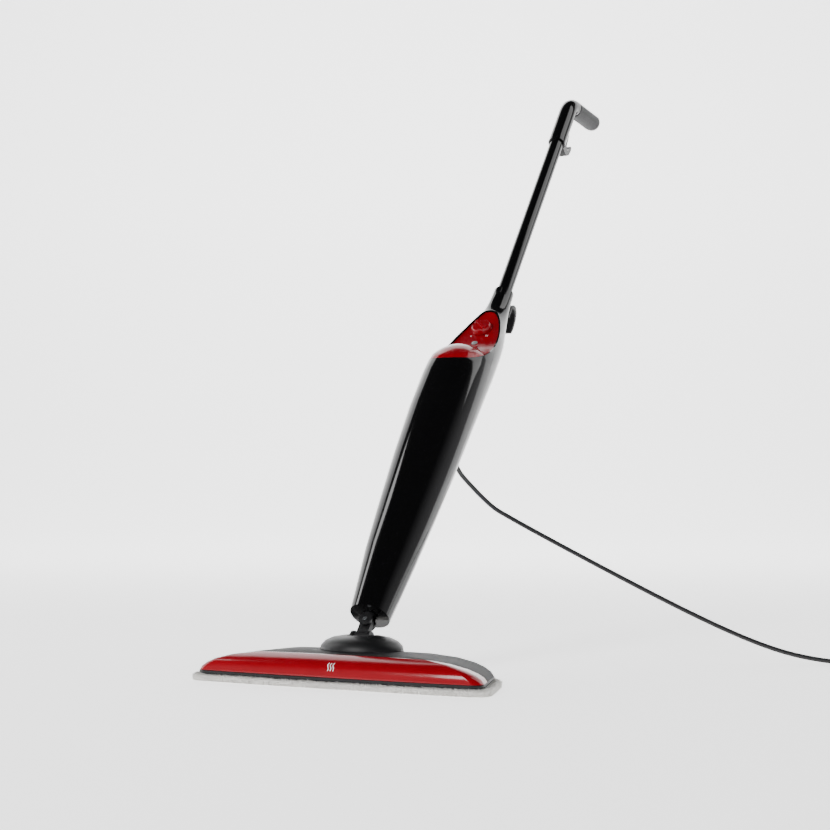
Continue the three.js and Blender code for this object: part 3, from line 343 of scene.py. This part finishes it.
def smooth_path(points, steps):
    """Points along a centripetal-like smooth curve through the given ones."""
    path = []
    for k in range(len(points) - 1):
        p0, p1, p2, p3 = [Vector(points[min(max(k + j, 0), len(points) - 1)]) for j in (-1, 0, 1, 2)]
        for step in range(steps):
            t = step / steps
            path.append(0.5 * ((2 * p1) + (p2 - p0) * t + (2 * p0 - 5 * p1 + 4 * p2 - p3) * t ** 2
                               + (3 * p1 - p0 - 3 * p2 + p3) * t ** 3))
    path.append(Vector(points[-1]))
    return path


def eased(share):
    """A share from 0 to 1 that starts and ends gently."""
    share = min(max(share, 0), 1)
    return share * share * (3 - 2 * share)


def on_coil(angle, radius, height):
    """A point round the middle of the coil."""
    return COIL_CENTRE + Vector((radius * math.cos(angle), radius * math.sin(angle), height))


def coil_path(diameter, turns):
    """The wound length: layers of four turns, inwards and outwards by turns, a diameter apart."""
    places = []
    for row in range(5):
        columns = (1.5, 0.5, -0.5, -1.5) if row % 2 == 0 else (-1.5, -0.5, 0.5, 1.5)
        height = TIE_THICK + (row + 0.5) * diameter + SLACK
        places += [(COIL_MIDDLE + column * diameter, height) for column in columns]
    path = []
    start = math.radians(-85)
    for n in range(turns * TURN_STEPS):
        turn, share = divmod(n, TURN_STEPS)
        (r0, z0), (r1, z1) = places[turn], places[turn + 1]
        slide = eased((share / TURN_STEPS - 0.7) / 0.3)
        angle = start + 2 * math.pi * n / TURN_STEPS
        path.append(on_coil(angle, r0 + (r1 - r0) * slide, z0 + (z1 - z0) * slide))
    return path, places[turns], start


# ---- operators -----------------------------------------------------------------------------


class MOP_OT_stage(bpy.types.Operator):
    """Adds the camera, the pale floor and the soft studio lights"""
    bl_idname = "mop.stage"
    bl_label = "Stage"

    def execute(self, context):
        scene = context.scene
        lens = bpy.data.cameras.new("camera")
        lens.lens = 73.4
        lens.sensor_width = 36
        lens.clip_end = 40
        camera = bpy.data.objects.new("camera", lens)
        camera.location = (0.98449, -1.88338, 0.25863)
        camera.rotation_euler = (math.radians(92.005), 0, math.radians(25.8))
        scene.collection.objects.link(camera)
        scene.camera = camera
        self.add_floor(scene)
        self.add_lights(scene)
        return {"FINISHED"}

    def add_floor(self, scene):
        """A pale sweep: a floor that curves up into a wall far behind the mop."""
        mesh = bpy.data.meshes.new("studio_sweep")
        build = bmesh.new()
        profile = [(-5.0, 0.0), (4.0, 0.0)]
        turns = (0.26, 0.52, 0.79, 1.05, 1.31, 1.57)
        profile += [(4.0 + 1.5 * math.sin(turn), 1.5 - 1.5 * math.cos(turn)) for turn in turns]
        profile.append((5.5, 7.0))
        rows = []
        for depth, height in profile:
            rows.append([build.verts.new((side - depth * ASIDE, depth * ALONG + side * ASIDE, height))
                         for side in (-8, 8)])
        for a, b in zip(rows, rows[1:]):
            build.faces.new((a[0], a[1], b[1], b[0])).smooth = True
        build.to_mesh(mesh)
        build.free()
        sweep = bpy.data.objects.new("studio_sweep", mesh)
        scene.collection.objects.link(sweep)
        material = bpy.data.materials.new("matt_studio_paper")
        material.use_nodes = True
        shader = material.node_tree.nodes["Principled BSDF"]
        shader.inputs["Base Color"].default_value = linear("#F4F4F4")
        shader.inputs["Roughness"].default_value = 0.9
        shader.inputs["Emission Color"].default_value = linear("#FFFFFF")
        shader.inputs["Emission Strength"].default_value = 1.5
        mesh.materials.append(material)

    def add_lights(self, scene):
        """Air that is pale low down and dark overhead, three softboxes and a wash on the wall."""
        world = bpy.data.worlds.new("studio_air")
        world.use_nodes = True
        tree = world.node_tree
        tree.nodes["Background"].inputs["Color"].default_value = linear("#F2F2F4")
        place = add_node(tree, "ShaderNodeTexCoord")
        split = add_node(tree, "ShaderNodeSeparateXYZ", links={"Vector": (place, "Generated")})
        darken = {"From Min": 0.25, "From Max": 0.6, "To Min": 0.75, "To Max": 0.06}
        fade = add_node(tree, "ShaderNodeMapRange", darken, {"Value": (split, "Z")})
        tree.links.new(fade.outputs["Result"], tree.nodes["Background"].inputs["Strength"])
        scene.world = world
        boxes = [
            ("softbox_left", (-1.9, 0.7, 1.1), (0.4, 2.2), 22),
            ("softbox_right", (1.4, 0.6, 1.6), (0.6, 1.4), 9),
            ("softbox_front", (-1.7, -2.2, 1.9), (0.8, 0.9), 60),
            ("wall_wash", (0.0, 2.4, 2.6), (4.0, 1.2), 170),
        ]
        for name, place, size, power in boxes:
            light = bpy.data.lights.new(name, "AREA")
            light.shape = "RECTANGLE"
            light.size, light.size_y = size
            light.energy = power
            lamp = bpy.data.objects.new(name, light)
            side, depth, height = place
            lamp.location = (side * ALONG - depth * ASIDE, side * ASIDE + depth * ALONG, height)
            target = Vector((0, 0.35, 0.45)) if name != "wall_wash" else Vector((-2.2, 4.7, 1.0))
            lamp.rotation_euler = (target - lamp.location).to_track_quat("-Z", "Y").to_euler()
            scene.collection.objects.link(lamp)


class MOP_OT_cord(bpy.types.Operator):
    """Lays the mains cord from its gland to the floor and winds the rest into a coil that ends in the plug"""
    bl_idname = "mop.cord"
    bl_label = "Mains cord"

    def execute(self, context):
        sizes = context.scene.mop_sizes
        diameter = sizes.cord_diameter
        wound, (radius, height), start = coil_path(diameter, sizes.cord_turns)
        low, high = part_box("mains_plug")
        tail = Vector((low[0] - 0.0003, (low[1] + high[1]) / 2, (low[2] + high[2]) / 2))
        climb = []
        for k in range(1, 12):
            angle = start + math.radians(265) * k / 12
            climb.append(on_coil(angle, radius, height + PLUG_LIFT * eased((k - 5) / 7)))
        turn_radius = COIL_CENTRE.y - tail.y
        turn_centre = Vector((COIL_CENTRE.x - radius + turn_radius, COIL_CENTRE.y, 0))
        rise = tail.z - height - PLUG_LIFT
        last = []
        for k in range(0, 6):
            angle = math.pi + math.pi / 2 * k / 5
            lift = (k + 1) / 6
            last.append(turn_centre + Vector((turn_radius * math.cos(angle), turn_radius * math.sin(angle),
                                              height + PLUG_LIFT + rise * lift)))
        path = smooth_path(CORD_ROUTE, 3) + [COIL_ENTRY]
        path += smooth_path(wound[1:] + climb + last + [tail], 2)
        curve = bpy.data.curves.new("mains_cord", "CURVE")
        curve.dimensions = "3D"
        curve.bevel_depth = diameter / 2
        curve.bevel_resolution = 3
        spline = curve.splines.new("POLY")
        spline.points.add(len(path) - 1)
        for point, place in zip(spline.points, path):
            point.co = (*place, 1)
        spline.use_smooth = True
        cord = bpy.data.objects.new("mains_cord", curve)
        context.scene.collection.objects.link(cord)
        curve.materials.append(finish("extruded_pvc"))
        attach(cord, "upper")
        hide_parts("cord_run", "cord_coil")
        return {"FINISHED"}


class MOP_OT_finishes(bpy.types.Operator):
    """Gives every hard piece its material, its rounded edges and its moulded shading"""
    bl_idname = "mop.finishes"
    bl_label = "Finishes"

    def execute(self, context):
        rounded = {"steam_knob", "filler_lid", "release_button", "cord_hook", "grip_body", "top_shell",
                   "front_trim", "base_plate", "pivot_bracket", "neck_fork", "mains_plug", "swivel_cover",
                   "control_panel"}
        radius = context.scene.mop_sizes.edge_round
        for name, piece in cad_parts.items():
            for slot in piece.material_slots:
                slot.material = finish(SLOTS[slot.material.name.split(".")[0]])
            weld = piece.modifiers.new("weld", "WELD")
            weld.merge_threshold = 0.00001
            if name in rounded and radius > 0:
                bevel = piece.modifiers.new("edges", "BEVEL")
                bevel.width = radius
                bevel.segments = 2
                bevel.angle_limit = math.radians(40)
            shading = piece.modifiers.new("shading", "NODES")
            shading.node_group = smooth_group()
            if name in rounded:
                weights = piece.modifiers.new("weights", "WEIGHTED_NORMAL")
                weights.keep_sharp = True
        return {"FINISHED"}


class MOP_OT_pad(bpy.types.Operator):
    """Makes the microfibre pad: a soft rim of terry loops round a quilted sole"""
    bl_idname = "mop.pad"
    bl_label = "Microfibre pad"

    def execute(self, context):
        sizes = context.scene.mop_sizes
        random.seed(7)
        outline = self.rim(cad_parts["microfibre_pad"].data, RIM_STEP)
        centre = Vector((0, sum(p.y for p in outline) / len(outline), 0))
        thick = sizes.pad_thickness
        sole = [(0.2, 0.0009), (0.4, 0.0006), (0.62, 0.0009), (0.8, 0.0005), (0.9, 0.0008), (0.97, 0.0004)]
        rim = [(0.0016, 0.0005), (0.0002, 0.0022), (-0.0007, 0.0045), (-0.0002, 0.0066)]
        rim.append((0.0016, thick - 0.0003))
        top = [(0.94, thick), (0.86, thick - 0.0006), (0.5, thick - 0.0006), (0.2, thick - 0.0006)]
        build = bmesh.new()
        rings = []
        for share, height in sole:
            rings.append([self.spot(centre, p, share, 0, height) for p in outline])
        for inset, height in rim:
            rings.append([self.spot(centre, p, 1, inset, height) for p in outline])
        for share, height in top:
            rings.append([self.spot(centre, p, share, 0, height) for p in outline])
        rows = [[build.verts.new(p + self.jitter(0.00025)) for p in ring] for ring in rings]
        for a, b in zip(rows, rows[1:]):
            for k in range(len(a)):
                build.faces.new((a[k], a[(k + 1) % len(a)], b[(k + 1) % len(a)], b[k])).smooth = True
        build.faces.new(list(reversed(rows[0]))).smooth = True
        build.faces.new(rows[-1]).smooth = True
        for vertex in build.verts:
            vertex.co.z = max(vertex.co.z, 0.0002)
        self.add_tufts(build, outline, centre, sizes)
        mesh = bpy.data.meshes.new("terry_pad")
        build.to_mesh(mesh)
        build.free()
        pad = new_piece("terry_pad", mesh, "head", finish("microfibre_terry"))
        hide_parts("microfibre_pad")
        return {"FINISHED"}

    def rim(self, mesh, spacing):
        """The pad's outline, seen from above, resampled at an even spacing."""
        spots = {(round(v.co.x, 5), round(v.co.y, 5)) for v in mesh.vertices}
        middle = sum(y for _, y in spots) / len(spots)
        around = sorted(spots, key=lambda p: math.atan2(p[1] - middle, p[0] * 0.35))
        ordered = [Vector((x, y, 0)) for x, y in around]
        loop = ordered + ordered[:1]
        points, carry = [], 0.0
        for a, b in zip(loop, loop[1:]):
            span = (b - a).length
            while carry < span:
                points.append(a.lerp(b, carry / span))
                carry += spacing
            carry -= span
        return points

    def spot(self, centre, point, share, inset, height):
        """A point of the outline, drawn towards the centre by a share and by an inset."""
        place = centre + (point - centre) * share
        place -= (point - centre).normalized() * inset
        return Vector((place.x, place.y, height))

    def jitter(self, size):
        return Vector([random.uniform(-size, size) for _ in range(3)])

    def add_tufts(self, build, outline, centre, sizes):
        """Short bent loops that stand out of the rim and its upper edge."""
        step = sizes.tuft_spacing
        per_point = max(1, round(RIM_STEP / step))
        heights = [0.0006 + k * step * 0.8 for k in range(int(sizes.pad_thickness / step / 0.8))]
        count = len(outline)
        for k, point in enumerate(outline):
            ahead = outline[(k + 1) % count]
            tangent = (ahead - point).normalized()
            outward = Vector((tangent.y, -tangent.x, 0))
            for part in range(per_point):
                base = point.lerp(ahead, (part + random.random()) / per_point)
                for height in heights:
                    lift = (height / sizes.pad_thickness - 0.35) * 0.9
                    root = base - outward * 0.0004 + Vector((0, 0, height + random.uniform(-0.0004, 0.0004)))
                    self.add_tuft(build, root, outward + Vector((0, 0, lift)), sizes)
                for inset in (0.002, 0.0045, 0.007):
                    root = base - outward * inset + Vector((0, 0, sizes.pad_thickness - 0.0009))
                    self.add_tuft(build, root, outward * 0.5 + Vector((0, 0, 0.8)), sizes)

    def add_tuft(self, build, root, direction, sizes):
        """One loop as a bent, tapering three-sided strand."""
        heading = (direction.normalized() + self.jitter(0.55)).normalized()
        side = heading.orthogonal().normalized()
        other = heading.cross(side)
        length = sizes.tuft_length * random.uniform(0.55, 1.0)
        droop = self.jitter(0.0006)
        levels = [(0.0, 0.00055), (0.55, 0.0006), (1.0, 0.00028)]
        rows = []
        for share, radius in levels:
            middle = root + heading * length * share + droop * share ** 2
            middle.z = max(middle.z, 0.0007)
            row = []
            for n in range(3):
                angle = 2 * math.pi * n / 3
                spoke = side * math.cos(angle) + other * math.sin(angle)
                row.append(build.verts.new(middle + spoke * radius))
            rows.append(row)
        for a, b in zip(rows, rows[1:]):
            for n in range(3):
                build.faces.new((a[n], a[(n + 1) % 3], b[(n + 1) % 3], b[n])).smooth = True
        build.faces.new(rows[-1]).smooth = True


class MOP_OT_marks(bpy.types.Operator):
    """Prints the steam symbols beside the dial and on the head's front"""
    bl_idname = "mop.marks"
    bl_label = "Printed marks"

    def execute(self, context):
        low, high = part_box("front_trim")
        origin = Vector((0.0, low[1], 0.0255))
        waves = [wave_stroke(x, -4, 5, 0.9) for x in (-3.6, 0, 3.6)]
        print_strokes("steam_mark_head", "front_trim", "head", origin, Vector((1, 0, 0)),
                      Vector((0, 0, 1)), waves, 1.1)
        lean = math.atan2(4.5, 21)
        away = from_pole(0, -math.cos(lean), math.sin(lean)) - from_pole(0, 0, 0)
        across = Vector((1, 0, 0))
        up = away.cross(across).normalized()
        low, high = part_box("steam_knob")
        dial = (Vector(low) + Vector(high)) / 2
        small = [wave_stroke(x, -1.6, 1.6, 0.35, 8) for x in (-0.7, 0.7)]
        large = [wave_stroke(x, -2.2, 2.2, 0.4, 8) for x in (-1.5, 0, 1.5)]
        for name, side, strokes in (("steam_mark_low", -12.5, small), ("steam_mark_high", 12.5, large)):
            middle = dial + across * side * MM - up * 0.0165
            print_strokes(name, "control_panel", "upper", middle, across, up, strokes, 0.55)
        return {"FINISHED"}


class MOP_PT_panel(bpy.types.Panel):
    """Settings and pieces of the steam mop"""
    bl_idname = "MOP_PT_panel"
    bl_label = "Steam Mop"
    bl_space_type = "VIEW_3D"
    bl_region_type = "UI"
    bl_category = "Steam Mop"

    def draw(self, context):
        layout = self.layout
        for settings in (context.scene.mop_sizes, context.scene.mop_colours):
            column = layout.column()
            for name in settings.__annotations__:
                column.prop(settings, name)
        for operator in OPERATORS:
            layout.operator(operator.bl_idname)


OPERATORS = (MOP_OT_stage, MOP_OT_cord, MOP_OT_finishes, MOP_OT_pad, MOP_OT_marks)
CLASSES = (MopSizes, MopColours, *OPERATORS, MOP_PT_panel)


def register():
    for item in CLASSES:
        bpy.utils.register_class(item)
    bpy.types.Scene.mop_sizes = bpy.props.PointerProperty(type=MopSizes)
    bpy.types.Scene.mop_colours = bpy.props.PointerProperty(type=MopColours)


def unregister():
    del bpy.types.Scene.mop_colours
    del bpy.types.Scene.mop_sizes
    for item in reversed(CLASSES):
        bpy.utils.unregister_class(item)


def main():
    register()
    bpy.ops.mop.stage()
    bpy.ops.mop.cord()
    bpy.ops.mop.finishes()
    bpy.ops.mop.pad()
    bpy.ops.mop.marks()


if __name__ == "__main__":
    main()
